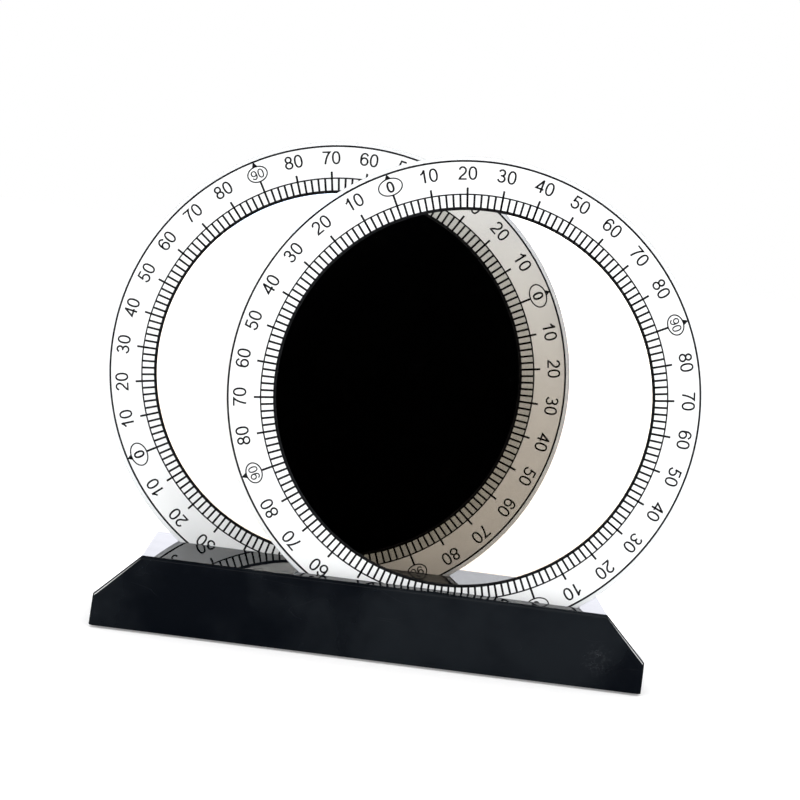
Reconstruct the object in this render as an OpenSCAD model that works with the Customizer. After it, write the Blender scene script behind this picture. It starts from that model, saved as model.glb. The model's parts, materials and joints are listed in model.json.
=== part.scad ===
// Polarization demonstrator: two polarizing discs standing on edge in a slotted base.
// Millimetres. X runs along the base, -Y is the side that faces the viewer, Z is up.
// The origin is the middle of the base, on the surface that its feet stand on.

/* [Discs] */
// Diameter of each disc
disc_d = 150; // [130:1:180]
// Diameter of the clear window, which is the bore of the white scale ring
window_d = 117.4; // [90:0.1:124]
// Width of the clear rim outside the scale ring
rim_clear = 1.1; // [0.5:0.1:2]
// Thickness of each clear plate
plate_t = 0.9; // [0.6:0.1:1.5]
// Thickness of the scale ring and of the film between the plates
layer_t = 0.3; // [0.2:0.05:0.5]
// Bevel on the outer edges of a plate
plate_bevel = 0.2; // [0.1:0.05:0.3]
// Gap between the film and the bore of the scale ring
film_gap = 0.1; // [0.05:0.05:0.3]
// Distance of each disc's centre from the middle of the base
disc_shift = 20; // [10:0.5:24]
// How far a disc stands down into the base
disc_sink = 14.5; // [10:0.5:16]

/* [Base housing] */
// Length of the base
base_l = 173.5; // [150:0.5:220]
// Depth of the base, from front to back
base_w = 48; // [42:0.5:60]
// Height of the housing
base_h = 23.5; // [22:0.5:32]
// Size of the slanted ends
end_cut = 13.5; // [8:0.5:14]
// Thickness of the outer walls
wall_t = 2.2; // [1.8:0.1:3]
// Thickness of the deck and of the slanted ends
deck_t = 2.4; // [1.8:0.1:3]
// Draft of the end walls in degrees
end_draft = 2; // [0.5:0.5:3]
// Draft of the front and back walls in degrees
side_draft = 0.5; // [0.5:0.5:1]
// Radius along the long outer edges
edge_r = 1; // [0.5:0.1:1.5]
// Radius of the upright corners
corner_r = 1.4; // [0.5:0.1:2]

/* [Slots] */
// Middle of the front slot, measured from the front face
front_slot = 8; // [7:0.5:10]
// Distance between the middles of the two slots
slot_pitch = 26; // [16:0.5:30]
// Gap on each side of a disc in its slot
side_gap = 0.3; // [0.25:0.05:0.5]
// Gap under a disc's rim
rim_gap = 0.3; // [0.25:0.05:0.5]
// Wall thickness of the trough below a slot
trough_t = 1.6; // [1.2:0.1:2]
// Bevel round the mouth of a slot
mouth_bevel = 0.4; // [0.2:0.1:0.6]

/* [Ribs and bosses] */
// Thickness of the cross ribs
rib_t = 1.5; // [1:0.1:2]
// Distance between neighbouring cross ribs
rib_pitch = 34; // [25:1:38]
// Number of cross ribs
rib_count = 4; // [2:1:4]
// Gap between a rib and the bottom cover
rib_clear = 1.2; // [0.5:0.1:2]
// Diameter of the screw bosses
boss_d = 7; // [6:0.5:8]
// Diameter of the hole that a screw cuts its thread in
pilot_d = 2.6; // [2.4:0.1:3]
// Distance of the screws from the ends of the base
screw_from_end = 9.5; // [9:0.5:12]
// Distance of the screws from the front and back of the base
screw_from_side = 8.5; // [8:0.5:11]

/* [Bottom cover] */
// Thickness of the cover
cover_t = 2; // [1.6:0.1:2.5]
// Width of the ledge that the cover seats on
ledge_w = 1.1; // [0.8:0.1:1.2]
// Gap round the cover
cover_gap = 0.2; // [0.1:0.05:0.4]
// Wall of the cups that the screw heads sit in
cup_t = 1.3; // [1:0.1:1.6]

/* [Screws] */
// Diameter of the head
head_d = 5.6; // [5:0.1:6]
// Height of the head
head_h = 2; // [1.6:0.1:2.4]
// Diameter of the shank
shank_d = 2.4; // [2.2:0.1:2.8]
// Length below the head
screw_l = 9; // [7:0.5:10]
// Width of the arms of the cross recess
cross_w = 0.9; // [0.6:0.1:1.1]
// How far a head lies below the outside of the cover
head_sink = 0.3; // [0.2:0.1:0.6]

/* [Feet] */
// Diameter of a foot
foot_d = 10; // [8:0.5:12]
// Thickness of a foot
foot_t = 1.8; // [1.5:0.1:2.5]
// Depth of the recess that a foot is stuck into
foot_sink = 1; // [0.6:0.1:1]
// Distance of the feet from the ends of the base
foot_from_end = 24; // [21:1:30]
// Distance of the feet from the front and back of the base
foot_from_side = 9; // [8.5:0.5:12]

/* [Hidden] */

$fn = 96;
// Steps in a rounded edge
edge_steps = 6;
// Something longer than any cut needs
far = 400;

disc_r = disc_d / 2;
disc_t = 2 * plate_t + layer_t;

// Heights of the housing's underside, its deck and the discs' centres
floor_z = foot_t - foot_sink;
deck_z = floor_z + base_h;
disc_z = deck_z - disc_sink + disc_r;

// Middles of the slots, across the base
front_y = -base_w / 2 + front_slot;
rear_y = front_y + slot_pitch;
slot_w = disc_t + 2 * side_gap;
slot_r = disc_r + rim_gap;

// The cover's top, which is the ledge in the housing, and the ends of the bosses
ledge_z = floor_z + cover_t;
seat_z = floor_z + head_sink + head_h;
boss_z = seat_z + cup_t;

// Corners of the rectangles that the screws and the feet stand on
screw_x = base_l / 2 - screw_from_end;
screw_y = base_w / 2 - screw_from_side;
foot_x = base_l / 2 - foot_from_end;
foot_y = base_w / 2 - foot_from_side;

// An outline with each corner turned into an arc: the arc starts where it touches the two sides
function unit(v) = v / norm(v);
function corner_arc(a, b, c, r) =
    r == 0 ? [b] :
    let (
        to_a = unit(a - b),
        to_c = unit(c - b),
        half = acos(to_a * to_c) / 2,
        centre = b + unit(to_a + to_c) * r / sin(half),
        from = b + to_a * r / tan(half) - centre,
        to = b + to_c * r / tan(half) - centre,
        turn = 180 - 2 * half
    )
    [for (i = [0 : edge_steps])
        centre + (from * sin(turn * (1 - i / edge_steps)) + to * sin(turn * i / edge_steps)) / sin(turn)];
function rounded(points, radii) =
    let (n = len(points))
    [for (i = [0 : n - 1])
        for (p = corner_arc(points[(i + n - 1) % n], points[i], points[(i + 1) % n], radii[i])) p];

// The base seen from the front, with its walls moved in by a side wall and by a top wall
function front_outline(side, top, r) =
    let (
        foot = base_l / 2 - side,
        knee_z = floor_z + base_h - end_cut - top * (sqrt(2) - 1),
        lean = (knee_z - floor_z) * tan(end_draft),
        shoulder = foot - lean - (deck_z - top - knee_z)
    )
    rounded(
        [[foot, floor_z], [foot - lean, knee_z], [shoulder, deck_z - top],
         [-shoulder, deck_z - top], [lean - foot, knee_z], [-foot, floor_z]],
        [0, r, r, r, r, 0]);

// The base seen from the end
function side_outline(side, top, r) =
    let (
        foot = base_w / 2 - side,
        lean = (base_h - top) * tan(side_draft)
    )
    rounded(
        [[foot, floor_z], [foot - lean, deck_z - top], [lean - foot, deck_z - top], [-foot, floor_z]],
        [0, r, r, 0]);

// The base or its cover seen from above, moved in by an inset
function plan_outline(inset, r) =
    let (x = base_l / 2 - inset, y = base_w / 2 - inset)
    rounded([[x, y], [-x, y], [-x, -y], [x, -y]], [r, r, r, r]);

module along_y(points) {
    rotate([90, 0, 0])
        linear_extrude(far, center = true) polygon(points);
}

module along_x(points) {
    rotate([90, 0, 90])
        linear_extrude(far, center = true) polygon(points);
}

// A round body about a disc's axis
module about_disc(x, y, r, width) {
    translate([x, y, disc_z]) rotate([90, 0, 0])
        cylinder(r = r, h = width, center = true);
}

module at_corners(x, y, z) {
    for (sx = [-1, 1], sy = [-1, 1])
        translate([sx * x, sy * y, z]) children();
}

// Rounds the long edges of a slanted end, whose face stands at 45 degrees. It spreads downwards,
// so that it stays outside the drafted walls
module slanted_end_edges() {
    face_mid = [base_l / 2 - end_cut / 2 - (base_h - end_cut) * tan(end_draft), 0, deck_z - end_cut / 2];
    y = base_w / 2 - (base_h - end_cut) * tan(side_draft);
    low_y = y + far * sqrt(2) * tan(side_draft);
    translate(face_mid) rotate([0, 45, 0]) rotate([90, 0, 90])
        linear_extrude(far, center = true)
            polygon(rounded([[low_y, -far], [y, 0], [-y, 0], [-low_y, -far]], [0, edge_r, edge_r, 0]));
}

module housing_outside() {
    intersection() {
        along_y(front_outline(0, 0, edge_r));
        along_x(side_outline(0, 0, edge_r));
        linear_extrude(far) polygon(plan_outline(0, corner_r));
        slanted_end_edges();
        mirror([1, 0, 0]) slanted_end_edges();
    }
}

module housing_inside() {
    inner_r = max(edge_r - 0.4, 0.2);
    intersection() {
        along_y(front_outline(wall_t, deck_t, inner_r));
        along_x(side_outline(wall_t, deck_t, inner_r));
    }
}

// A slot with a curved floor. The bevel of its mouth stops short of the ends, where the floor comes up
module slot(x, y) {
    mouth = 2 * sqrt(pow(slot_r, 2) - pow(disc_z - deck_z, 2));
    about_disc(x, y, slot_r, slot_w);
    translate([x, y, deck_z]) rotate([90, 0, 90])
        linear_extrude(mouth - 4 * mouth_bevel, center = true)
            polygon([[-slot_w / 2 - mouth_bevel, mouth_bevel], [-slot_w / 2 - mouth_bevel, 0],
                     [-slot_w / 2, -mouth_bevel], [slot_w / 2, -mouth_bevel],
                     [slot_w / 2 + mouth_bevel, 0], [slot_w / 2 + mouth_bevel, mouth_bevel]]);
}

module cross_ribs() {
    low_z = ledge_z + rib_clear;
    for (i = [0 : rib_count - 1])
        translate([(i - (rib_count - 1) / 2) * rib_pitch - rib_t / 2, -base_w / 2, low_z])
            cube([rib_t, base_w, base_h]);
}

module base_housing() {
    color([0.04, 0.045, 0.055])
    difference() {
        union() {
            difference() {
                housing_outside();
                housing_inside();
                translate([0, 0, -far + ledge_z]) linear_extrude(far)
                    polygon(plan_outline(wall_t - ledge_w, corner_r / 2));
            }
            intersection() {
                housing_outside();
                union() {
                    about_disc(disc_shift, front_y, slot_r + trough_t, slot_w + 2 * trough_t);
                    about_disc(-disc_shift, rear_y, slot_r + trough_t, slot_w + 2 * trough_t);
                    cross_ribs();
                    at_corners(screw_x, screw_y, boss_z) cylinder(d = boss_d, h = base_h);
                }
            }
        }
        slot(disc_shift, front_y);
        slot(-disc_shift, rear_y);
        at_corners(screw_x, screw_y, boss_z - 1) cylinder(d = pilot_d, h = screw_l - cup_t + 2);
    }
}

module bottom_cover() {
    inset = wall_t - ledge_w + cover_gap;
    color([0.07, 0.07, 0.075])
    difference() {
        union() {
            translate([0, 0, floor_z]) linear_extrude(cover_t)
                polygon(plan_outline(inset, corner_r / 2));
            at_corners(screw_x, screw_y, floor_z) cylinder(d = head_d + 2 * cup_t + 0.6, h = boss_z - floor_z);
        }
        at_corners(screw_x, screw_y, -1) cylinder(d = head_d + 0.6, h = seat_z + 1);
        at_corners(screw_x, screw_y, 0) cylinder(d = shank_d + 0.6, h = far);
        at_corners(foot_x, foot_y, 0) cylinder(d = foot_d + 0.4, h = floor_z + foot_sink);
    }
}

// A pan-head screw that points up, with a cross recess in the head
module cover_screw() {
    dome = head_h * 0.3;
    difference() {
        rotate_extrude()
            polygon([[0, screw_l], [shank_d / 2 - 0.6, screw_l], [shank_d / 2, screw_l - 1.5],
                     [shank_d / 2, 0], [head_d / 2, 0], [head_d / 2, dome - head_h],
                     [head_d / 2 - dome, -head_h], [0, -head_h]]);
        for (turn = [0, 90])
            rotate(turn) translate([-head_d / 4, -cross_w / 2, -head_h - 1])
                cube([head_d / 2, cross_w, 1 + head_h * 0.6]);
    }
}

module cover_screws() {
    color([0.62, 0.63, 0.65])
        at_corners(screw_x, screw_y, seat_z) cover_screw();
}

module rubber_feet() {
    bevel = 0.4;
    color([0.1, 0.1, 0.1])
        at_corners(foot_x, foot_y, 0) rotate_extrude()
            polygon([[0, 0], [foot_d / 2 - bevel, 0], [foot_d / 2, bevel], [foot_d / 2, foot_t], [0, foot_t]]);
}

// Places a layer of a disc: its own z runs from the disc's front face towards the back
module on_disc(x, y, depth) {
    translate([x, y - disc_t / 2 + depth, disc_z]) rotate([-90, 0, 0]) children();
}

module clear_plate() {
    color([0.85, 0.9, 0.92, 0.3])
        rotate_extrude()
            polygon([[0, 0], [disc_r - plate_bevel, 0], [disc_r, plate_bevel],
                     [disc_r, plate_t - plate_bevel], [disc_r - plate_bevel, plate_t], [0, plate_t]]);
}

module scale_ring() {
    color([0.95, 0.95, 0.94])
    difference() {
        cylinder(r = disc_r - rim_clear, h = layer_t);
        translate([0, 0, -1]) cylinder(d = window_d, h = layer_t + 2);
    }
}

module film() {
    color([0.45, 0.44, 0.42, 0.6])
        cylinder(r = window_d / 2 - film_gap, h = layer_t);
}

module front_disc_front_plate() {
    on_disc(disc_shift, front_y, 0) clear_plate();
}

module front_disc_scale_ring() {
    on_disc(disc_shift, front_y, plate_t) scale_ring();
}

module front_disc_film() {
    on_disc(disc_shift, front_y, plate_t) film();
}

module front_disc_rear_plate() {
    on_disc(disc_shift, front_y, plate_t + layer_t) clear_plate();
}

module rear_disc_front_plate() {
    on_disc(-disc_shift, rear_y, 0) clear_plate();
}

module rear_disc_scale_ring() {
    on_disc(-disc_shift, rear_y, plate_t) scale_ring();
}

module rear_disc_film() {
    on_disc(-disc_shift, rear_y, plate_t) film();
}

module rear_disc_rear_plate() {
    on_disc(-disc_shift, rear_y, plate_t + layer_t) clear_plate();
}

base_housing();
bottom_cover();
cover_screws();
rubber_feet();
front_disc_front_plate();
front_disc_scale_ring();
front_disc_film();
front_disc_rear_plate();
rear_disc_front_plate();
rear_disc_scale_ring();
rear_disc_film();
rear_disc_rear_plate();
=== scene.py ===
"""Looks of a polarization demonstrator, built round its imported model.

Two polarizing discs with printed angle scales stand on edge, one behind the other and offset sideways, in
the slots of a glossy black base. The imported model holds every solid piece. This script prints the scales,
dresses each piece in its finish, and sets the pieces up in a plain pale studio.

Lengths in the classes are millimetres unless a name says otherwise; meshes are made in metres. In a disc's
own plane, u runs to the viewer's right and v upwards, and h is the height above the disc's front face.
"""

import json
import logging
import math
from abc import ABC, abstractmethod
from collections.abc import Callable, Mapping, Sequence
from dataclasses import dataclass, field
from enum import Enum

import bpy
import numpy as np
from mathutils import Matrix, Vector


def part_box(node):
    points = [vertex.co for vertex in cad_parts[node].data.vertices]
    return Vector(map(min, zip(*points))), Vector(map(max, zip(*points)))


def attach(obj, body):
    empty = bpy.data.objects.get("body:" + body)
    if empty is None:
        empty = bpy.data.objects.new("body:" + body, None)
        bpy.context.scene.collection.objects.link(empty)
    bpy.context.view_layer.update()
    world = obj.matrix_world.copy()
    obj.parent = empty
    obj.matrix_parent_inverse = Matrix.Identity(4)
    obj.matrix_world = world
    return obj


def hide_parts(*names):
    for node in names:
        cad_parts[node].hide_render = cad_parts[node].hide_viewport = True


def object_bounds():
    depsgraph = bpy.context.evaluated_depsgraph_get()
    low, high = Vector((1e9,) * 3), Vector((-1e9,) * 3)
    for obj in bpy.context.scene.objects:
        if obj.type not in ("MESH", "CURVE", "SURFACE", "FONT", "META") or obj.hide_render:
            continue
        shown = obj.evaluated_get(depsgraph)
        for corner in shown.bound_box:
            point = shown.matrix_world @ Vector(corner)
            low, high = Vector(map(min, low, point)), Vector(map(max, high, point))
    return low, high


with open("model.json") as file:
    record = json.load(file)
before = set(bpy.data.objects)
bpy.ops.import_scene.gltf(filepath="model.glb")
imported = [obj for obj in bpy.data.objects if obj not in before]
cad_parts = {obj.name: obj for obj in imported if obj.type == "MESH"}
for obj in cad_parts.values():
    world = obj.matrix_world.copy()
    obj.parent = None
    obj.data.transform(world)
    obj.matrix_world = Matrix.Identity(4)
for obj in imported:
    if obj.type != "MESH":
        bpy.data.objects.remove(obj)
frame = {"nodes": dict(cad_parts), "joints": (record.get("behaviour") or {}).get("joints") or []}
CAD_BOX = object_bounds()

MM = 0.001
# A ray that has come through one disc's film has crossed more clear faces than the first number, and a ray
# that then stands before the other disc's film has crossed more than the second.
FACES_TO_FILM = 4.5
FACES_TO_SECOND_FILM = 6.5
Colour = tuple[float, float, float]
Place = tuple[float, float, float]
log = logging.getLogger("polarization_demonstrator")


class Body(Enum):
    """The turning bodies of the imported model, which the discs' pieces ride on."""

    FRONT_DISC = "front_disc"
    REAR_DISC = "rear_disc"


class Mark(Enum):
    """How a reading of the scale is marked: by its figures alone, or by a ringed figure with a pointer."""

    PLAIN = "plain"
    ZERO = "zero"
    NINETY = "ninety"


def _operator(operation: str, swapped: bool = False) -> Callable[..., "Signal"]:
    """A method that joins self and another value in one Math node, the other way round where swapped."""

    def method(self: "Signal", other: "Signal | float" = 0.0) -> "Signal":
        """Joins the two."""
        pair = (other, self) if swapped else (self, other)
        return self.shader.node("Math", {"operation": operation}, dict(enumerate(pair)))

    return method


class Signal:
    """A shader socket that takes part in arithmetic: each operation adds one Math node to its tree.

    A comparison gives 1 or 0, and either gives the greater of two values.
    """

    __add__ = _operator("ADD")
    __radd__ = _operator("ADD", swapped=True)
    __sub__ = _operator("SUBTRACT")
    __rsub__ = _operator("SUBTRACT", swapped=True)
    __mul__ = _operator("MULTIPLY")
    __rmul__ = _operator("MULTIPLY", swapped=True)
    __pow__ = _operator("POWER")
    __gt__ = _operator("GREATER_THAN")
    __abs__ = _operator("ABSOLUTE")
    either = _operator("MAXIMUM")

    def __init__(self, shader: "Shader", socket: bpy.types.NodeSocket) -> None:
        """Wraps a socket of the shader's tree."""
        self.shader = shader
        self.socket = socket

    def output(self, name: str) -> "Signal":
        """Another output of the same node, by its name."""
        return Signal(self.shader, self.socket.node.outputs[name])

    def ease(self, low: float, high: float, start: float = 0.0, end: float = 1.0) -> "Signal":
        """A smooth step: start where self is at low, end where it is at high, held flat outside."""
        inputs = {"Value": self, "From Min": low, "From Max": high, "To Min": start, "To Max": end}
        return self.shader.node("MapRange", {"interpolation_type": "SMOOTHSTEP"}, inputs)


class Shader:
    """The node tree of a material or of the world, built up by expressions."""

    def __init__(self, owner: bpy.types.Material | bpy.types.World, output: str) -> None:
        """Empties the owner's tree and gives it the output node for a Material or a World."""
        owner.use_nodes = True
        self.owner = owner
        self.tree = owner.node_tree
        self.tree.nodes.clear()
        self.end = self.tree.nodes.new(f"ShaderNodeOutput{output}")

    @classmethod
    def of_material(cls, name: str) -> "Shader":
        """A new material's shader."""
        return cls(bpy.data.materials.new(name), "Material")

    def node(
        self,
        kind: str,
        settings: Mapping[str, object] | None = None,
        inputs: Mapping[str | int, object] | None = None,
        output: str | int = 0,
    ) -> Signal:
        """Adds a node.

        Args:
            kind: the node's type, without ShaderNode.
            settings: its properties, set before the sockets.
            inputs: values, colours or signals for its input sockets, by name or number.
            output: which of its outputs comes back.

        Returns:
            The chosen output.
        """
        made = self.tree.nodes.new(f"ShaderNode{kind}")
        for name, value in (settings or {}).items():
            setattr(made, name, value)
        for name, value in (inputs or {}).items():
            socket = made.inputs[name]
            if isinstance(value, Signal):
                self.tree.links.new(value.socket, socket)
            else:
                socket.default_value = (*value, 1.0) if socket.type == "RGBA" else value
        return Signal(self, made.outputs[output])

    def finish(self, surface: Signal) -> bpy.types.Material | bpy.types.World:
        """Links the surface to the output and returns the owner."""
        self.tree.links.new(surface.socket, self.end.inputs["Surface"])
        return self.owner

    def place(self) -> Signal:
        """The point on the piece, in its own metres."""
        return self.node("TexCoord", output="Object")

    def turned(self, point: Signal, angle: float, axis: str, stretch: Sequence[float]) -> Signal:
        """The point turned about an axis by an angle in degrees, then scaled, which stretches a pattern."""
        turn = [math.radians(angle) if name == axis else 0.0 for name in "XYZ"]
        return self.node("Mapping", {}, {"Vector": point, "Rotation": turn, "Scale": stretch})

    def vector(self, operation: str, left: object, right: object = (0.0, 0.0, 0.0)) -> Signal:
        """One Vector Math node with a vector for its result."""
        return self.node("VectorMath", {"operation": operation}, {0: left, 1: right})

    def measure(self, operation: str, left: object, right: object = (0.0, 0.0, 0.0)) -> Signal:
        """One Vector Math node with a number for its result."""
        return self.vector(operation, left, right).output("Value")

    def part(self, vector: Signal, axis: str) -> Signal:
        """One coordinate of a vector."""
        return self.node("SeparateXYZ", {}, {"Vector": vector}, axis)

    def grain(self, point: Signal, size: float, detail: float = 2.0, rough: float = 0.5) -> Signal:
        """Soft noise between 0 and 1 with features of about the given size in millimetres."""
        inputs = {"Vector": point, "Scale": 1 / (size * MM), "Detail": detail, "Roughness": rough}
        return self.node("TexNoise", {}, inputs)

    def specks(self, point: Signal, spacing: float, radius: float, share: float) -> Signal:
        """Round specks: 1 inside them.

        Args:
            point: where the surface is.
            spacing: mean distance in millimetres between the cells that may hold a speck.
            radius: greatest radius of a speck, in millimetres.
            share: how large a share of the cells holds one.

        Returns:
            A mask with a soft edge.
        """
        cell = self.node("TexVoronoi", {}, {"Vector": point, "Scale": 1 / (spacing * MM)})
        lot = self.node("SeparateColor", {}, {"Color": cell.output("Color")}, "Red")
        size = lot.ease(1 - share, 1.0, 0.0, radius / spacing)
        return (size - cell).ease(0.0, 0.3 * radius / spacing)

    def hairlines(
        self, point: Signal, angle: float, axis: str, length: float, pitch: float, width: float
    ) -> Signal:
        """Fine broken lines, the level lines of noise stretched along them; lengths in millimetres.

        Args:
            point: where the surface is.
            angle: turn of the lines from the X axis, in degrees.
            axis: axis that they are turned about.
            length: how long the lines run.
            pitch: mean distance between lines.
            width: how wide they are.

        Returns:
            A mask, 1 on the lines.
        """
        across = 1 / (pitch * MM)
        along = self.turned(point, angle, axis, (1 / (length * MM), across, across))
        wave = self.node("TexNoise", {}, {"Vector": along, "Scale": 1.0, "Detail": 1.0})
        broken = self.grain(point, length * 0.6, 1.0).ease(0.52, 0.66)
        return abs(wave - 0.5).ease(0.0, 0.5 * width / pitch, 1.0, 0.0) * broken

    def tint(self, factor: Signal | float, first: object, second: object) -> Signal:
        """A colour between first, at factor 0, and second, at factor 1."""
        return self.node("Mix", {"data_type": "RGBA"}, {0: factor, 6: first, 7: second}, 2)

    def bump(self, height: Signal, depth: float) -> Signal:
        """The normal over a height between 0 and 1 that stands for the given depth in millimetres."""
        return self.node("Bump", {}, {"Height": height, "Strength": 1.0, "Distance": depth * MM})

    def mix(self, factor: Signal | float, first: Signal, second: Signal) -> Signal:
        """Two shaders mixed: first at factor 0, second at factor 1."""
        return self.node("MixShader", {}, {0: factor, 1: first, 2: second})

    def clear(self, colour: Colour = (1.0, 1.0, 1.0)) -> Signal:
        """A shader that lets everything through, tinted."""
        return self.node("BsdfTransparent", {}, {"Color": colour})

    def solid(self, inputs: Mapping[str, object]) -> Signal:
        """A Principled shader."""
        return self.node("BsdfPrincipled", {}, inputs)


class Finish(ABC):
    """How a surface looks; the fields of each finish are its colours and measures."""

    @abstractmethod
    def shade(self, s: Shader, point: Signal) -> Signal:
        """The surface's shader at the point on the piece, in its own metres."""

    def material(self, name: str) -> bpy.types.Material:
        """Builds the material under the given name."""
        s = Shader.of_material(name)
        return s.finish(self.shade(s, s.place()))


def through_film(path: Signal) -> Signal:
    """1 for a ray that has come through a disc's film, told by the faces it has crossed or by its kind."""
    return (path.output("Transparent Depth") > FACES_TO_FILM).either(path.output("Is Transmission Ray"))


def linked(name: str, data: bpy.types.ID) -> bpy.types.Object:
    """A new object that shows the data, linked into the scene."""
    made = bpy.data.objects.new(name, data)
    bpy.context.scene.collection.objects.link(made)
    return made


@dataclass(frozen=True)
class GlossyMoulding(Finish):
    """Glossy black moulding: a dark body under a clear sheen, with dust, wipe marks and hairlines."""

    colour: Colour = (0.0012, 0.0020, 0.0036)
    clouded: Colour = (0.0082, 0.0102, 0.0126)
    dust: Colour = (0.30, 0.31, 0.33)
    sheen: float = 0.62
    sheen_index: float = 1.40
    sheen_roughness: float = 0.012
    scuffed: Place = (0.072, -0.024, 0.010)
    scuffed_radius: float = 6.5

    def shade(self, s: Shader, point: Signal) -> Signal:
        """A dark clouded body under a clear coat, marked by scratches, rubbing and dust."""
        dust = s.specks(point, 4.2, 0.15, 0.14)
        away = s.measure("DISTANCE", point, self.scuffed)
        scuff = away.ease(0.3 * self.scuffed_radius * MM, self.scuffed_radius * MM, 1.0, 0.0)
        crossing = s.hairlines(point, -35, "Y", 3, 1.4, 0.05)
        scratches = s.hairlines(point, 50, "Y", 2.4, 1.1, 0.05).either(crossing) * scuff
        rubbed = s.grain(point, 1.4, 3, 0.7).ease(0.46, 0.70) * scuff
        lines = s.hairlines(point, 24, "Y", 30, 9, 0.05)
        wiped = s.grain(s.turned(point, 12, "Y", (0.35, 1, 1)), 14, 3).ease(0.35, 0.75)
        body = s.tint(s.grain(point, 45, 4, 0.6).ease(0.38, 0.66), self.colour, self.clouded)
        marks = (dust * 0.6).either(scratches * 0.12).either(rubbed * 0.032).either(lines * 0.03)
        height = s.grain(point, 26, 1) + lines * -0.01
        return s.solid({
            "Base Color": s.tint(marks, body, self.dust),
            "Roughness": wiped * 0.08 + 0.30,
            "Specular IOR Level": 0.0,
            "Coat Weight": self.sheen * (1 - (wiped * 0.05).either(dust)),
            "Coat Roughness": self.sheen_roughness,
            "Coat IOR": self.sheen_index,
            "Normal": s.bump(height, 0.02),
        })


@dataclass(frozen=True)
class MattMoulding(Finish):
    """Black moulding from a spark-eroded tool: a fine even grain with rubbed patches."""

    colour: Colour = (0.026, 0.026, 0.028)
    rubbed: Colour = (0.045, 0.045, 0.048)
    grain: float = 0.35
    depth: float = 0.03

    def shade(self, s: Shader, point: Signal) -> Signal:
        """A grained body that is smoother where it is rubbed."""
        grain = s.grain(point, self.grain, 3, 0.6)
        rubbed = s.grain(point, 18, 4, 0.65).ease(0.5, 0.72)
        lines = s.hairlines(point, 60, "Z", 20, 6, 0.12)
        return s.solid({
            "Base Color": s.tint((rubbed * 0.5).either(lines), self.colour, self.rubbed),
            "Roughness": 0.66 - rubbed * 0.18 - grain * 0.10,
            "Specular IOR Level": 0.4,
            "Normal": s.bump(grain, self.depth),
        })


@dataclass(frozen=True)
class ZincSteel(Finish):
    """Zinc plated steel: blue-grey with faint straw patches and the marks of the driver."""

    plated: Colour = (0.60, 0.62, 0.66)
    straw: Colour = (0.62, 0.58, 0.46)

    def shade(self, s: Shader, point: Signal) -> Signal:
        """Bare metal, rougher in its patches and marks."""
        patches = s.grain(point, 1.6, 3).ease(0.45, 0.7)
        marks = s.hairlines(point, 35, "Z", 2.5, 0.7, 0.04)
        return s.solid({
            "Base Color": s.tint(patches * 0.6, self.plated, self.straw),
            "Metallic": 1.0,
            "Roughness": patches * 0.12 + marks * 0.15 + 0.26,
            "Normal": s.bump(s.grain(point, 0.3, 2) - marks * 0.5, 0.006),
        })


@dataclass(frozen=True)
class SoftRubber(Finish):
    """Black rubber, dusty where it has stood on tables."""

    colour: Colour = (0.022, 0.022, 0.023)
    dusty: Colour = (0.10, 0.098, 0.092)
    dusty_height: float = 0.5

    def shade(self, s: Shader, point: Signal) -> Signal:
        """A dull body, paler where dust clings low down."""
        grain = s.grain(point, 0.25, 3, 0.6)
        dust = s.grain(point, 2.2, 4, 0.6).ease(0.4, 0.65)
        dusty = s.part(point, "Z").ease(0.0, self.dusty_height * MM, 0.8, 0.0) * dust
        return s.solid({
            "Base Color": s.tint(dusty, self.colour, self.dusty),
            "Roughness": 0.78 + dusty * 0.12 - grain * 0.08,
            "Specular IOR Level": 0.35,
            "Normal": s.bump(grain, 0.025),
        })


@dataclass(frozen=True)
class FilmSetting:
    """How a disc's film stands in the room and to the light, at rest; the centre is in metres.

    The reference is fixed in the room. Light rays carry no polarization here, so the first film that a ray
    meets sorts it. One part stays a plain ray, and stands for light that swings along the reference. The
    other goes on as a transmitted ray, and stands for light that swings across it.
    """

    centre: Vector
    axis: Vector
    reference: Vector

    def along(self, s: Shader) -> Signal:
        """The square of the cosine of the angle between the film's axis and the reference."""
        spaces = {"vector_type": "VECTOR", "convert_from": "OBJECT", "convert_to": "WORLD"}
        now = s.node("VectorTransform", spaces, {"Vector": self.axis})
        return s.measure("DOT_PRODUCT", now, self.reference) ** 2

    def passed(self, along: Signal, path: Signal) -> Signal:
        """The share of a sorted ray that the film lets through."""
        crosswise = path.output("Is Transmission Ray")
        return crosswise * (1 - along) + (1 - crosswise) * along

    def is_sorted(self, path: Signal) -> Signal:
        """1 for a ray that has come through the other disc's film, told by the faces it has crossed."""
        return path.output("Transparent Depth") > FACES_TO_SECOND_FILM


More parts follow.
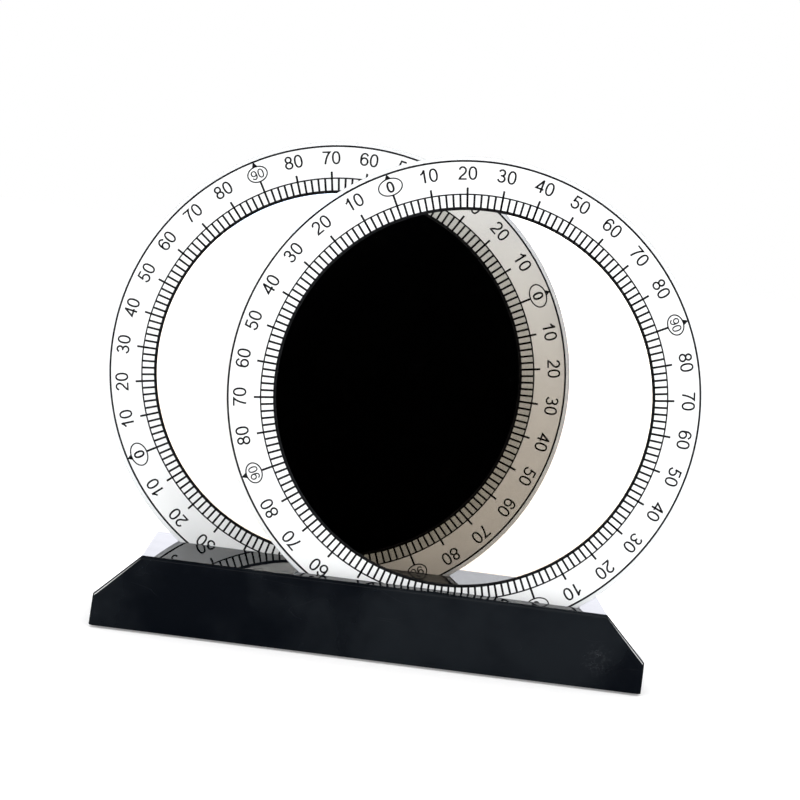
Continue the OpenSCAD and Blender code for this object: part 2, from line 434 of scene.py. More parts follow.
@dataclass(frozen=True)
class PrintedSheet(Finish):
    """White sheet that carries the scale: faint mottle of the ink film and a few specks.

    The film laps a little way under the sheet, up to the ring of ticks. The sheet lets some light through,
    so where a crossed film stands before the lap, the sheet's colour there is darkened as painted shade.
    """

    light: FilmSetting
    white: Colour = (0.955, 0.955, 0.950)
    mottled: Colour = (0.935, 0.936, 0.938)
    speck: Colour = (0.45, 0.44, 0.42)
    # Painted shade: the sheet's colour within the lap where a crossed film stands before it.
    lapped: Colour = (0.62, 0.62, 0.60)
    lap_radius: float = 63.4
    lap_fade: float = 0.4

    def shade(self, s: Shader, point: Signal) -> Signal:
        """A mottled body, with painted shade greying the lap where a crossed film stands before it."""
        mottle = s.grain(point, 7, 4, 0.6).ease(0.35, 0.75)
        specks = s.specks(point, 6, 0.14, 0.12)
        path = s.node("LightPath")
        blocked = self.light.is_sorted(path) * (1 - self.light.passed(self.light.along(s), path))
        reach = s.measure("DISTANCE", point, self.light.centre)
        lapped = reach.ease(self.lap_radius * MM, (self.lap_radius + self.lap_fade) * MM, 1.0, 0.0)
        plain = s.tint(specks * 0.6, s.tint(mottle, self.white, self.mottled), self.speck)
        return s.solid({
            # Painted shade: the sheet greys within the lap for rays that came through a crossed film.
            "Base Color": s.tint(blocked * lapped, plain, self.lapped),
            "Roughness": mottle * 0.08 + 0.48,
            "Specular IOR Level": 0.2,
            "Normal": s.bump(s.grain(point, 0.5, 2), 0.004),
        })


@dataclass(frozen=True)
class ScaleInk(Finish):
    """Black screen ink: slightly uneven cover with a satin surface."""

    colour: Colour = (0.006, 0.006, 0.007)
    thin: Colour = (0.022, 0.022, 0.024)

    def shade(self, s: Shader, point: Signal) -> Signal:
        """A satin body, paler where the cover is thin."""
        cover = s.grain(point, 0.6, 3, 0.6)
        return s.solid({
            "Base Color": s.tint(cover.ease(0.5, 0.8), self.colour, self.thin),
            "Roughness": cover * 0.15 + 0.42,
            "Specular IOR Level": 0.15,
            "Normal": s.bump(cover, 0.004),
        })


@dataclass(frozen=True)
class ClearSheet(Finish):
    """Clear polished sheet of one disc, whose centre and radius are in metres.

    It mirrors almost nothing square on and much at a glance, and its rim is frosted. The rim is bluer where
    a film stands before it, which makes up for the film's brown.
    """

    centre: Vector
    radius: float
    through: Colour = (0.985, 0.988, 0.990)
    edge: Colour = (0.86, 0.87, 0.88)
    edge_through: Colour = (0.76, 0.80, 0.87)
    haze: Colour = (0.030, 0.032, 0.034)
    glancing: float = 0.85
    glancing_bend: float = 5.0
    least_glance: float = 0.002
    gloss_roughness: float = 0.03
    frosted_width: float = 1.05
    frosted: float = 0.50
    cut: Colour = (0.42, 0.46, 0.47)
    cut_width: float = 0.03
    cut_frosted: float = 0.85

    def shade(self, s: Shader, point: Signal) -> Signal:
        """Clear within, frosted at the rim and the cut edge, with smears, hairlines and dust."""
        spoke = s.vector("MULTIPLY", s.vector("SUBTRACT", point, self.centre), (1.0, 0.0, 1.0))
        reach = s.measure("LENGTH", spoke)
        rim = (reach > self.radius - self.frosted_width * MM) * self.frosted
        path = s.node("LightPath", output="Is Shadow Ray")
        edge = s.tint(through_film(path), self.edge, self.edge_through)
        cut = reach > self.radius - self.cut_width * MM
        smears = s.grain(s.turned(point, 30, "Y", (1, 1, 0.4)), 16, 3, 0.6).ease(0.5, 0.8)
        lines = s.hairlines(point, 40, "Y", 16, 6, 0.06)
        dust = s.specks(point, 7, 0.16, 0.08)
        glance = s.node("LayerWeight", {}, {"Blend": 0.5}, "Facing") ** self.glancing_bend
        gloss = s.node("BsdfAnisotropic", {}, {"Color": (1.0, 1.0, 1.0), "Roughness": self.gloss_roughness})
        haze = s.solid({"Base Color": self.haze, "Roughness": 0.6 + smears * 0.1, "Specular IOR Level": 0.0})
        frost = s.solid({
            "Base Color": s.tint(cut, edge, self.cut),
            "Roughness": 0.55 + smears * 0.1,
            "Normal": s.bump(s.grain(point, 0.2, 2), 0.006),
        })
        seen = (glance * self.glancing).ease(self.least_glance, 1.0)
        window = s.mix(seen, s.clear(self.through), gloss)
        marked = s.mix((lines * 0.03).either(dust * 0.25), window, haze)
        whole = s.mix(rim.either(cut * self.cut_frosted), marked, frost)
        return s.mix(path, whole, s.clear(self.through))


@dataclass(frozen=True)
class PolarizingFilm(Finish):
    """Polarizing film, which lets through the part of the light that swings along its axis.

    The first film sorts a ray into two parts, the squares of the cosine and sine of the angle between its
    axis and the reference. The second lets each part through by the same squares, so crossed films are
    black and parallel ones clear while either disc turns. Painted shade darkens the tint: neutral at the
    top, browner and darker towards the disc's bottom. Rays that a glossy face has mirrored aren't sorted;
    they swing mostly level, and a third of them passes. Rays that a matt surface has scattered get a
    plain tint.
    """

    light: FilmSetting
    first_pass: Colour = (0.93, 0.90, 0.87)
    second_pass: Colour = (0.90, 0.90, 0.87)
    denser: Colour = (0.541, 0.483, 0.422)
    # Painted shade: the film's tint is darkest and browner below the first height and neutral above the
    # second.
    dense_below: float = -70.0
    clear_above: float = 75.0
    clearing_bend: float = 2.3
    sorting_index: float = 1.002
    mirrored: Colour = (0.36, 0.34, 0.30)
    scattered: Colour = (0.735, 0.705, 0.655)
    crossed: Colour = (0.0006, 0.0006, 0.0008)

    def shade(self, s: Shader, point: Signal) -> Signal:
        """Sorts or sifts a ray as it enters; as it leaves, tints it with painted shade by height."""
        light = self.light
        path = s.node("LightPath", output="Is Shadow Ray")
        leaving = s.node("NewGeometry", output="Backfacing")
        # Painted shade by height, for rays that no film has sorted yet.
        height = s.part(point, "Z") - light.centre.z
        unshaded_share = height.ease(self.dense_below * MM, self.clear_above * MM) ** self.clearing_bend
        bottom_shade = (1 - unshaded_share) * (1 - light.is_sorted(path))
        along = light.along(s)
        sorting = {"Color": self.first_pass, "IOR": self.sorting_index, "Roughness": 0.0}
        sorted_out = s.node("BsdfRefraction", {}, sorting)
        first = s.mix(along, sorted_out, s.clear(self.first_pass))
        black = s.node("BsdfDiffuse", {}, {"Color": self.crossed})
        second = s.mix(light.passed(along, path), black, s.clear(self.second_pass))
        straight = s.mix(light.is_sorted(path), first, second)
        mirrored = path.output("Is Glossy Ray") * (1 - path.output("Is Transmission Ray"))
        entering = s.mix(mirrored, straight, s.clear(self.mirrored))
        # Leaving rays take the painted shade, darker and browner towards the disc's bottom.
        seen = s.mix(leaving, entering, s.mix(bottom_shade, s.clear(), s.clear(self.denser)))
        plain = s.mix(leaving, s.clear(self.scattered), s.clear())
        direct = s.mix(path.output("Is Diffuse Ray"), seen, plain)
        return s.mix(path, direct, plain)


def arc(
    centre: Sequence[float], radii: Sequence[float], start: float, end: float, points: int = 13
) -> np.ndarray:
    """Points of an ellipse's arc: the centre plus the radii times cosine and sine of even angles."""
    angle = np.radians(np.linspace(start, end, points))
    return np.array(centre) + np.array(radii) * np.stack([np.cos(angle), np.sin(angle)], axis=1)


def bend(
    start: Sequence[float], pull: Sequence[float], end: Sequence[float], points: int = 9
) -> np.ndarray:
    """Points of a parabola's arc: (1-t)^2 start + 2t(1-t) pull + t^2 end, for t from 0 to 1."""
    t = np.linspace(0, 1, points)[:, None]
    return (1 - t) ** 2 * np.array(start) + 2 * t * (1 - t) * np.array(pull) + t**2 * np.array(end)


@dataclass(frozen=True)
class Stroke:
    """One stroke of a figure: the points of its middle line, in heights of the figure."""

    path: np.ndarray
    closed: bool = False


def heads_out(path: np.ndarray, radius: float, turn: float) -> np.ndarray:
    """The points of a drawing whose head looks outwards, at a radius and a direction in degrees from u."""
    out = np.array([math.cos(math.radians(turn)), math.sin(math.radians(turn))])
    return radius * out + path[:, :1] * np.array([out[1], -out[0]]) + path[:, 1:] * out


def pen(*parts: Sequence[Sequence[float]]) -> Stroke:
    """An open stroke through the points of its parts, one part after the other."""
    return Stroke(np.vstack(parts))


def oval(centre: Sequence[float], radii: Sequence[float], points: int = 28, square: float = 1.0) -> Stroke:
    """A closed oval: radii times the cosine and sine of the angle, each to the power of square."""
    angle = np.linspace(0, 2 * math.pi, points, endpoint=False)
    unit = np.stack([np.cos(angle), np.sin(angle)], axis=1)
    return Stroke(np.array(centre) + np.array(radii) * np.sign(unit) * np.abs(unit) ** square, closed=True)


class Figures:
    """A plain upright face for the numbers 0 to 9, drawn with one pen; a figure is 1 high."""

    WIDTH = 0.645
    ADVANCE = 0.761
    MIDDLE = (WIDTH / 2, 0.5)

    SIX = pen(
        arc((0.335, 0.60), (0.272, 0.35), 28, 180, 13),
        arc((0.335, 0.325), (0.262, 0.275), 180, 540, 25),
    )
    SHAPES: tuple[list[Stroke], ...] = (
        # 0: a tall oval.
        [oval(MIDDLE, (0.262, 0.45), square=0.88)],
        # 1: a flag and a stem.
        [pen(bend((0.10, 0.665), (0.31, 0.745), (0.405, 0.97))), pen([(0.405, 1.0), (0.405, 0.0)])],
        # 2: a bow, a slope and a foot.
        [pen(
            arc((0.32, 0.70), (0.245, 0.25), 172, -38, 15),
            bend((0.44, 0.44), (0.12, 0.21), (0.075, 0.055)),
            [(0.62, 0.055)],
        )],
        # 3: two bows that meet in the middle.
        [
            pen(arc((0.30, 0.735), (0.215, 0.215), 168, -90, 15), [(0.21, 0.52)]),
            pen([(0.21, 0.52)], arc((0.30, 0.285), (0.255, 0.235), 90, -168, 15)),
        ],
        # 4: a bar with a slope, and a stem.
        [pen([(0.645, 0.29), (0.055, 0.29), (0.46, 0.93)]), pen([(0.48, 1.0), (0.48, 0.0)])],
        # 5: a roof with a short neck, and a bowl.
        [
            pen([(0.595, 0.945), (0.185, 0.945), (0.115, 0.475)]),
            pen(arc((0.31, 0.325), (0.27, 0.275), 140, -166, 19)),
        ],
        # 6: a neck that curls over, and a bowl.
        [SIX],
        # 7: a roof and a leaning stem.
        [pen([(0.02, 0.945)], bend((0.60, 0.945), (0.30, 0.62), (0.225, 0.0), 11))],
        # 8: two ovals, the upper one smaller.
        [oval((0.3225, 0.735), (0.218, 0.215), 24), oval((0.3225, 0.285), (0.262, 0.235), 24)],
        # 9: a six turned half round.
        [Stroke(2 * np.array(MIDDLE) - SIX.path)],
    )

    @classmethod
    def number(cls, value: int) -> list[Stroke]:
        """The strokes of a whole number, centred on the origin."""
        digits = [int(d) for d in str(value)]
        left = -0.5 * ((len(digits) - 1) * cls.ADVANCE + cls.WIDTH)
        corners = [(left + place * cls.ADVANCE, -0.5) for place in range(len(digits))]
        return [
            Stroke(stroke.path + np.array(corner), stroke.closed)
            for digit, corner in zip(digits, corners)
            for stroke in cls.SHAPES[digit]
        ]


@dataclass
class Relief:
    """Closed shapes of one thickness that lie on a disc's face, gathered into one mesh."""

    thickness: float
    sunk: float
    vertices: list[np.ndarray] = field(default_factory=list)
    quads: list[np.ndarray] = field(default_factory=list)
    count: int = 0
    least_cosine: float = 0.4

    def _add(self, points: np.ndarray, quads: np.ndarray) -> None:
        """Takes in vertices in (u, v, h) and the quads between them."""
        self.vertices.append(points)
        self.quads.append(quads + self.count)
        self.count += len(points)

    def ribbon(self, path: np.ndarray, width: float | np.ndarray, closed: bool = False) -> None:
        """Lays a strip along a path.

        At each point the strip's two sides lie half a width away along the bisector of the two neighbouring
        normals, divided by the cosine of half the turn, or by least_cosine where that is more. A rectangle
        with those sides, from the sunk foot to the top, is carried along the path, and an open strip gets a
        cap at each end.

        Args:
            path: points of the middle line, one a row.
            width: the strip's width, or one width for each point.
            closed: whether the last point joins the first.
        """
        step = np.roll(path, -1, axis=0) - path
        after = step if closed else np.vstack([step[:-1], step[-2]])
        before = np.roll(step, 1, axis=0) if closed else np.vstack([step[0], step[:-1]])
        before, after = (d / np.linalg.norm(d, axis=1)[:, None] for d in (before, after))
        normals = [np.stack([-d[:, 1], d[:, 0]], axis=1) for d in (before, after)]
        bisector = normals[0] + normals[1]
        bisector /= np.linalg.norm(bisector, axis=1)[:, None]
        reach = 0.5 * width / np.maximum((bisector * normals[1]).sum(axis=1), self.least_cosine)
        left, right = path + bisector * reach[:, None], path - bisector * reach[:, None]
        foot, top = np.full((len(path), 1), -self.sunk), np.full((len(path), 1), self.thickness)
        corners = [np.hstack(pair) for pair in ((left, foot), (left, top), (right, top), (right, foot))]
        steps = len(path) if closed else len(path) - 1
        here, side = np.meshgrid(np.arange(steps), np.arange(4), indexing="ij")
        there, turn = (here + 1) % len(path), (side + 1) % 4
        around = [4 * here + side, 4 * here + turn, 4 * there + turn, 4 * there + side]
        quads = np.stack(around, axis=-1).reshape(-1, 4)
        if not closed:
            last = 4 * (len(path) - 1)
            quads = np.vstack([quads, [(3, 2, 1, 0)], [(last, last + 1, last + 2, last + 3)]])
        self._add(np.stack(corners, axis=1).reshape(-1, 3), quads)

    def circle(self, radius: float, width: float, points: int = 240) -> None:
        """A line round the disc's centre."""
        self.ribbon(oval((0, 0), (radius, radius), points).path, width, closed=True)

    def spokes(self, angles: np.ndarray, start: float, end: float, width: float) -> None:
        """Radial bars at the angles, in degrees, from one radius to another, all worked out at once.

        A bar's eight corners are its radial direction times start or end, plus or minus half its width
        along the tangent, at the foot and at the top.
        """
        turn = np.radians(angles)
        out = np.stack([np.cos(turn), np.sin(turn)], axis=1)
        side = np.stack([-np.sin(turn), np.cos(turn)], axis=1)
        edges = [(r, w, h) for r in (start, end) for w, h in ((1, 0), (1, 1), (-1, 1), (-1, 0))]
        levels = [np.full((len(out), 1), level) for level in (-self.sunk, self.thickness)]
        corners = [np.hstack([out * r + side * w * width / 2, levels[h]]) for r, w, h in edges]
        box = np.array([(3, 2, 1, 0), (4, 5, 6, 7), (0, 1, 5, 4), (1, 2, 6, 5), (2, 3, 7, 6), (3, 0, 4, 7)])
        quads = (box[None] + 8 * np.arange(len(angles))[:, None, None]).reshape(-1, 4)
        self._add(np.stack(corners, axis=1).reshape(-1, 3), quads)

    def piece(self, name: str, centre: Vector, face: float) -> bpy.types.Object:
        """Makes the mesh object.

        Args:
            name: its name.
            centre: the disc's centre, in metres.
            face: where the disc's front face lies along Y, in metres.

        Returns:
            The object, at the origin, with its place in its mesh.
        """
        u, v, h = (np.vstack(self.vertices) * MM).T
        points = np.stack([centre.x + u, face - h, centre.z + v], axis=1).astype(np.float32)
        quads = np.vstack(self.quads).astype(np.int32)
        mesh = bpy.data.meshes.new(name)
        mesh.vertices.add(len(points))
        mesh.vertices.foreach_set("co", points.ravel())
        mesh.loops.add(quads.size)
        mesh.loops.foreach_set("vertex_index", quads.ravel())
        mesh.polygons.add(len(quads))
        mesh.polygons.foreach_set("loop_start", np.arange(0, quads.size, 4, dtype=np.int32))
        mesh.update(calc_edges=True)
        return linked(name, mesh)


@dataclass
class AngleScale:
    """The print on a disc: four quarter scales from 0 to 90 degrees, ticked every 2 and numbered every 10.

    Readings grow both ways from the two zero marks, and their figures stand with their heads outwards.
    """

    ink: float = 0.014
    sunk: float = 0.005
    rim_radius: float = 73.60
    rim_line: float = 0.60
    bore_radius: float = 59.04
    bore_line: float = 0.98
    tick_radius: float = 63.40
    tick_line: float = 0.46
    tick: float = 0.66
    tick_step: int = 2
    long_tick_radius: float = 65.50
    number_step: int = 10
    number_radius: float = 69.90
    number_height: float = 4.10
    upright: float = 0.150
    level: float = 0.125
    mark_radius: float = 69.50
    mark_line: float = 0.42
    ninety_oval: tuple[float, float] = (6.4, 4.9)
    ninety_height: float = 2.90
    zero_oval: tuple[float, float] = (7.5, 5.2)
    zero_height: float = 3.30
    zero_boldness: float = 1.35
    pointer_width: float = 1.90
    pointer_tip: float = 0.08
    ring_points: int = 40

    def reading(self, angle: int) -> int:
        """What the scale reads at an angle from a zero mark: the way to the nearer of the two zeros."""
        return abs((angle + 90) % 180 - 90)

    def mark(self, reading: int) -> Mark:
        """How a reading is marked."""
        return {0: Mark.ZERO, 90: Mark.NINETY}.get(reading, Mark.PLAIN)

    def _figures(
        self, relief: Relief, value: int, height: float, radius: float, turn: float, bold: float = 1.0
    ) -> None:
        """Writes a number with its head outwards; upright parts of a stroke are the wider ones.

        Args:
            relief: what takes the strokes.
            value: the number.
            height: height of its figures.
            radius: radius of its middle.
            turn: its direction from the disc's centre, in degrees from u.
            bold: how much wider the strokes are than usual.
        """
        for stroke in Figures.number(value):
            slope = np.abs(np.gradient(stroke.path, axis=0))
            share = slope[:, 1] / np.maximum(slope.sum(axis=1), 1e-9)
            width = bold * height * (self.level + (self.upright - self.level) * share)
            relief.ribbon(heads_out(stroke.path * height, radius, turn), width, stroke.closed)

    def _ringed(self, relief: Relief, size: tuple[float, float], turn: float) -> None:
        """An oval, its size along the tangent and the radius, with a pointer outwards and a stem inwards."""
        ring = oval((0, 0), (size[0] / 2, size[1] / 2), self.ring_points).path
        relief.ribbon(heads_out(ring, self.mark_radius, turn), self.mark_line, closed=True)
        pointer = np.array([(0.0, self.mark_radius + size[1] / 2), (0.0, self.rim_radius)])
        relief.ribbon(heads_out(pointer, 0.0, turn), np.array([self.pointer_width, self.pointer_tip]))
        relief.spokes(np.array([turn]), self.tick_radius, self.mark_radius - size[1] / 2, self.tick)

    def relief(self, zero: float) -> Relief:
        """Prints the whole scale.

        Args:
            zero: direction of a zero mark from the disc's centre, in degrees from u towards v.

        Returns:
            The print's shapes.
        """
        made = Relief(self.ink, self.sunk)
        made.circle(self.rim_radius, self.rim_line)
        made.circle(self.tick_radius, self.tick_line)
        made.circle(self.bore_radius, self.bore_line)
        made.spokes(zero + np.arange(0, 360, self.tick_step), self.bore_radius, self.tick_radius, self.tick)
        numbered = [a for a in range(0, 360, self.number_step) if self.mark(self.reading(a)) is Mark.PLAIN]
        made.spokes(zero + np.array(numbered), self.bore_radius, self.long_tick_radius, self.tick)
        for angle in range(0, 360, self.number_step):
            value, turn = self.reading(angle), zero + angle
            match self.mark(value):
                case Mark.ZERO:
                    self._ringed(made, self.zero_oval, turn)
                    self._figures(made, value, self.zero_height, self.mark_radius, turn, self.zero_boldness)
                case Mark.NINETY:
                    self._ringed(made, self.ninety_oval, turn)
                    self._figures(made, value, self.ninety_height, self.mark_radius, turn)
                case Mark.PLAIN:
                    self._figures(made, value, self.number_height, self.number_radius, turn)
        return made


@dataclass
class ClearPlate:
    """A round plate with eased edges, turned from its profile.

    Its inner face lies a hair's breadth off the layer behind it, so that light rays needn't choose between
    two faces in the same plane.
    """

    radius: float
    thickness: float
    eased: float = 0.20
    off_layer: float = 0.03
    around: int = 256
    bend_steps: int = 4

    def profile(self) -> np.ndarray:
        """Points (r, h) from the outer face's edge to the inner face's edge.

        Each edge is a quarter circle: its centre plus eased times the cosine and sine of the angle.
        """
        reach = self.radius - self.eased
        depth = self.thickness - self.off_layer
        outer = arc((reach, self.eased), (self.eased, self.eased), -90, 0, self.bend_steps + 1)
        inner = arc((reach, depth - self.eased), (self.eased, self.eased), 0, 90, self.bend_steps + 1)
        return np.vstack([outer, inner])

    def piece(self, name: str, centre: Vector, outer: float, inward: float) -> bpy.types.Object:
        """Makes the mesh object.

        The profile is carried round the axis: x and z are its r times the cosine and sine of an even angle,
        and y is the outer face's place plus its h. Each flat face is a fan of triangles from its middle.

        Args:
            name: its name.
            centre: the disc's centre, in metres.
            outer: where the outer face lies along Y, in metres.
            inward: 1 where the inner face lies towards +Y of it, else -1.

        Returns:
            The object, at the origin, with its place in its mesh.
        """
        reach, depth = self.profile().T * MM
        angle = np.linspace(0, 2 * math.pi, self.around, endpoint=False) * inward
        x = centre.x + reach[:, None] * np.cos(angle)
        y = outer + inward * depth[:, None] + 0 * angle
        z = centre.z + reach[:, None] * np.sin(angle)
        middles = [(centre.x, outer, centre.z), (centre.x, outer + inward * depth[-1], centre.z)]
        points = np.vstack([np.stack([x, y, z], axis=-1).reshape(-1, 3), middles])
        row, here = np.meshgrid(np.arange(len(reach) - 1), np.arange(self.around), indexing="ij")
        there = (here + 1) % self.around
        quads = np.stack([row, row, row + 1, row + 1]) * self.around + np.stack([here, there, there, here])
        last = (len(reach) - 1) * self.around
        here, there = np.arange(self.around), (np.arange(self.around) + 1) % self.around
        fans = [
            np.stack([there, here, np.full_like(here, len(points) - 2)], axis=1),
            np.stack([last + here, last + there, np.full_like(here, len(points) - 1)], axis=1),
        ]
        faces = [*quads.reshape(4, -1).T.tolist(), *np.vstack(fans).tolist()]
        mesh = bpy.data.meshes.new(name)
        mesh.from_pydata(points.tolist(), [], faces)
        mesh.polygons.foreach_set("use_smooth", np.arange(len(faces)) < quads[0].size)
        mesh.update()
        return linked(name, mesh)


def dress(node: str, material: bpy.types.Material) -> None:
    """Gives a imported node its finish."""
    mesh = frame["nodes"][node].data
    mesh.materials.clear()
    mesh.materials.append(material)
    log.info("%s wears %s", node, material.name)


@dataclass
class PolarizingDisc:
    """One turning disc: two clear plates, a white ring and the film between them, and the printed scale.

    zero is the direction of a zero mark at rest, in degrees from u towards v.
    """

    body: Body
    zero: float
    film_askew: float = 0.0
    scale: AngleScale = field(default_factory=AngleScale)

    @property
    def centre(self) -> Vector:
        """The disc's centre, where its joint is, in metres."""
        joint = next(joint for joint in frame["joints"] if joint["child"] == self.body.value)
        return Vector(joint["pos_m"])

    @property
    def axis(self) -> Vector:
        """The film's axis, which points at the zero mark but for how far the film is laid in askew."""
        turn = math.radians(self.zero + self.film_askew)
        return Vector((math.cos(turn), 0.0, math.sin(turn)))

    def _plate(self, part: str, inward: int) -> None:
        """Puts an eased clear plate in the place of a packed one.

        Args:
            part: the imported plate's name without the disc's.
            inward: 1 where the layers lie towards +Y of it, else -1.
        """
        node = f"{self.body.value}_{part}"
        low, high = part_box(node)
        shape = ClearPlate((high.x - low.x) / 2 / MM, (high.y - low.y) / MM)
        piece = shape.piece(f"{node}_eased", self.centre, low.y if inward > 0 else high.y, inward)
        sheet = ClearSheet(self.centre, shape.radius * MM)
        piece.data.materials.append(sheet.material(f"clear_sheet_{node}"))
        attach(piece, self.body.value)
        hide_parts(node)
        log.info("%s stands for %s", piece.name, node)

    def build(self, ink: bpy.types.Material, reference: Vector) -> None:
        """Dresses the disc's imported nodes, puts its plates in place and prints its scale.

        Args:
            ink: finish of the print.
            reference: the axis that polarization is told by.
        """
        name = self.body.value
        light = FilmSetting(self.centre, self.axis, reference)
        self._plate("front_plate", 1)
        self._plate("rear_plate", -1)
        dress(f"{name}_scale_ring", PrintedSheet(light).material(f"printed_sheet_{name}"))
        dress(f"{name}_film", PolarizingFilm(light).material(f"polarizing_film_{name}"))
        relief = self.scale.relief(self.zero)
        piece = relief.piece(f"{name}_scale_print", self.centre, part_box(f"{name}_scale_ring")[0].y)
        piece.data.materials.append(ink)
        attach(piece, name)
        log.info("%s: %d corners, rides on %s", piece.name, relief.count, name)


@dataclass
class SlottedBase:
    """The moulded base, its cover, screws and feet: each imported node, its material's name, its finish."""

    finishes: tuple[tuple[str, str, Finish], ...] = (
        ("base_housing", "glossy_moulding", GlossyMoulding()),
        ("bottom_cover", "matt_moulding", MattMoulding()),
        ("cover_screws", "zinc_steel", ZincSteel()),
        ("rubber_feet", "soft_rubber", SoftRubber()),
    )

    def build(self) -> None:
        """Dresses the base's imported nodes."""
        for node, name, finish in self.finishes:
            dress(node, finish.material(name))


@dataclass
class Lamp:
    """A square soft lamp that points at the object's middle; place and size in metres."""

    name: str
    place: Place
    size: float
    watts: float
    colour: Colour = (1.0, 1.0, 1.0)

    def build(self, target: Vector) -> None:
        """Hangs the lamp and turns it to the target."""
        light = bpy.data.lights.new(self.name, "AREA")
        light.size = self.size
        light.energy = self.watts
        light.color = self.colour
        made = linked(self.name, light)
        made.location = self.place
        made.rotation_euler = (target - Vector(self.place)).to_track_quat("-Z", "Y").to_euler()


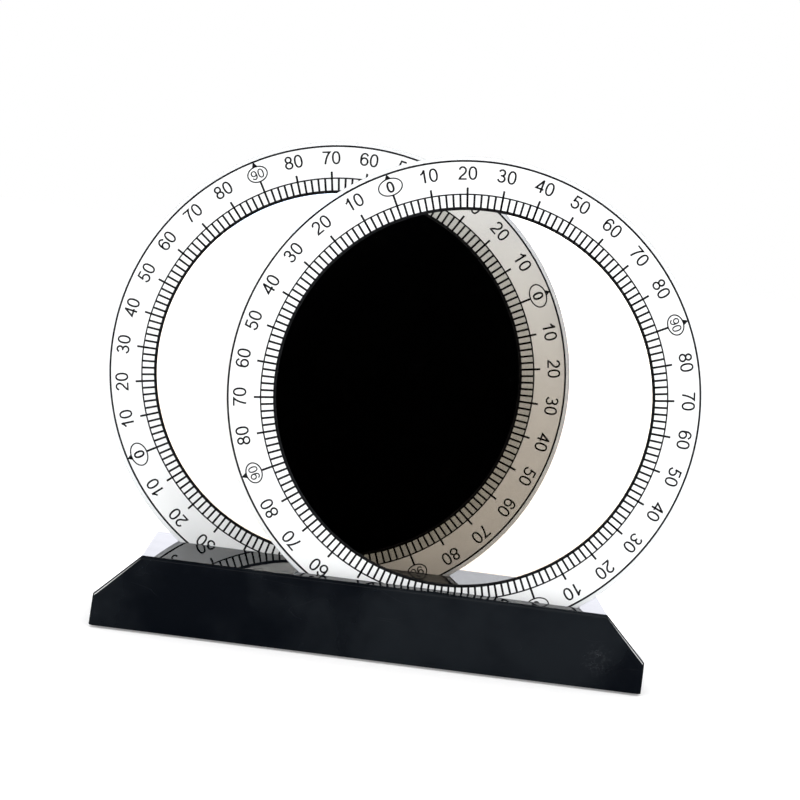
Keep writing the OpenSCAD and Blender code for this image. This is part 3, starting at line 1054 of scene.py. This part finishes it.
@dataclass
class Studio:
    """Plain pale floor, even light, and the camera where the photograph was taken; lengths in metres.

    The camera's angles are in degrees. Its focal length is in pixels of a frame that is frame_pixels wide.

    Rays that a glossy face has mirrored see a bright low band behind the object, from the floor's far part
    up to low_end, and little else. Rays that came through a film see a brighter background, so that the
    window still reads white, and a band that makes up for the film's brown.
    """

    camera_place: Place = (-0.01797, -0.63014, 0.14077)
    camera_yaw: float = 1.689
    camera_pitch: float = -5.474
    camera_roll: float = 7.602
    focal_pixels: float = 1983.7
    frame_pixels: float = 800.0
    sensor: float = 36.0
    floor_half: float = 6.0
    floor_colour: Colour = (0.90, 0.90, 0.905)
    near_mirrored: Colour = (0.12, 0.125, 0.14)
    floor_glow: float = 0.24
    far_glow: float = 1.0
    far_from: float = 0.16
    far_to: float = 0.55
    mirrored_round: Place = (0.0, -0.08, 0.0)
    mirrored_from: float = 0.135
    mirrored_to: float = 0.22
    through_glow: float = 1.8
    air: float = 0.88
    mirrored_low: float = 4.4
    mirrored_high: float = 0.10
    low_tint: Colour = (0.917, 0.925, 1.0)
    mirrored_through: float = 1.457
    through_tint: Colour = (0.694, 0.808, 1.0)
    low_end: float = 0.30
    low_fade: float = 0.25
    low_side: float = 0.2
    rear_from: float = -0.1
    rear_to: float = 0.05
    see_through: int = 32
    nearest_seen: float = 0.01
    floor_roughness: float = 0.9
    lamps: tuple[Lamp, ...] = (
        Lamp("key", (-0.7, -1.0, 1.3), 0.9, 8.0),
        Lamp("rim", (0.9, 0.9, 1.1), 0.8, 4.0),
        Lamp("fill", (0.25, -1.1, 0.30), 0.9, 1.2),
        Lamp("left", (-0.832, -0.946, 0.404), 0.12, 2.1),
        Lamp("right", (0.887, -0.903, 0.390), 0.12, 2.0),
    )

    def _camera(self) -> None:
        """The camera: its view direction from yaw and pitch, then rolled about it."""
        yaw, pitch, roll = (math.radians(a) for a in (self.camera_yaw, self.camera_pitch, self.camera_roll))
        ahead = Vector((math.sin(yaw) * math.cos(pitch), math.cos(yaw) * math.cos(pitch), math.sin(pitch)))
        right = Vector((math.cos(yaw), -math.sin(yaw), 0.0))
        up = right.cross(ahead)
        across = right * math.cos(roll) + up * math.sin(roll)
        upward = up * math.cos(roll) - right * math.sin(roll)
        data = bpy.data.cameras.new("camera")
        data.sensor_width = self.sensor
        data.lens = self.focal_pixels / self.frame_pixels * self.sensor
        data.clip_start = self.nearest_seen
        made = linked("camera", data)
        turn = Matrix((across, upward, -ahead)).transposed()
        made.matrix_world = Matrix.Translation(self.camera_place) @ turn.to_4x4()
        bpy.context.scene.camera = made

    def _floor(self) -> None:
        """A pale floor that keeps its shadow, reads white to the camera and isn't there from below."""
        mesh = bpy.data.meshes.new("floor")
        side = self.floor_half
        corners = [(-side, -side, 0.0), (side, -side, 0.0), (side, side, 0.0), (-side, side, 0.0)]
        mesh.from_pydata(corners, [], [(0, 1, 2, 3)])
        made = linked("floor", mesh)
        s = Shader.of_material("pale_floor")
        path = s.node("LightPath", output="Is Camera Ray")
        below = s.node("NewGeometry", output="Backfacing")
        shown = path.either(path.output("Is Transmission Ray"))
        point = s.place()
        own = s.measure("LENGTH", point).ease(self.far_from, self.far_to, self.floor_glow, self.far_glow)
        apart = s.measure("DISTANCE", point, self.mirrored_round)
        rearward = s.part(point, "Y").ease(self.rear_from, self.rear_to)
        far = apart.ease(self.mirrored_from, self.mirrored_to) * rearward
        glossy = path.output("Is Glossy Ray") * (1 - shown)
        passed = through_film(path)
        mirrored = glossy * far * self.mirrored_low * (1 + passed * (self.mirrored_through - 1))
        glow = shown * (own + passed * self.through_glow) + mirrored
        lit = s.solid({
            "Base Color": s.tint(glossy * (1 - far), self.floor_colour, self.near_mirrored),
            "Roughness": self.floor_roughness,
            "Specular IOR Level": 0.0,
            "Emission Color": glow,
            "Emission Strength": 1.0,
        })
        mesh.materials.append(s.finish(s.mix(below, lit, s.clear())))

    def _air(self) -> None:
        """Light from all round: plain for surfaces, white for the camera, with a low band for mirrors."""
        world = bpy.data.worlds.new("studio")
        bpy.context.scene.world = world
        s = Shader(world, "World")
        path = s.node("LightPath", output="Is Camera Ray")
        aim = s.node("TexCoord", output="Generated")
        rearward = s.part(aim, "Y").ease(-self.low_side, self.low_side)
        low = s.part(aim, "Z").ease(self.low_end, self.low_end + self.low_fade, 1.0, 0.0) * rearward
        shown = path.either(path.output("Is Transmission Ray"))
        mirrored = path.output("Is Glossy Ray")
        passed = through_film(path)
        bright = self.mirrored_low * (1 + passed * (self.mirrored_through - 1))
        strength = (
            shown * (1 + passed * self.through_glow)
            + (1 - shown) * mirrored * (low * (bright - self.mirrored_high) + self.mirrored_high)
            + (1 - shown) * (1 - mirrored) * self.air
        )
        colour = s.tint(mirrored * low, (1.0, 1.0, 1.0), s.tint(passed, self.low_tint, self.through_tint))
        s.finish(s.node("Background", {}, {"Color": colour, "Strength": strength}))

    def build(self) -> None:
        """Sets up the floor, the light, the camera and the plain view settings."""
        scene = bpy.context.scene
        scene.view_settings.view_transform = "Standard"
        scene.cycles.transparent_max_bounces = self.see_through
        target = (CAD_BOX[0] + CAD_BOX[1]) / 2
        self._floor()
        self._air()
        for lamp in self.lamps:
            lamp.build(target)
        self._camera()


def main() -> None:
    """Builds the base, both discs and the studio."""
    logging.basicConfig(level=logging.INFO, format="%(message)s")
    SlottedBase().build()
    discs = [
        PolarizingDisc(Body.FRONT_DISC, zero=116.9),
        PolarizingDisc(Body.REAR_DISC, zero=29.2, film_askew=-2.3),
    ]
    ink = ScaleInk().material("scale_ink")
    for disc in discs:
        disc.build(ink, discs[0].axis)
    Studio().build()


if __name__ == "__main__":
    main()
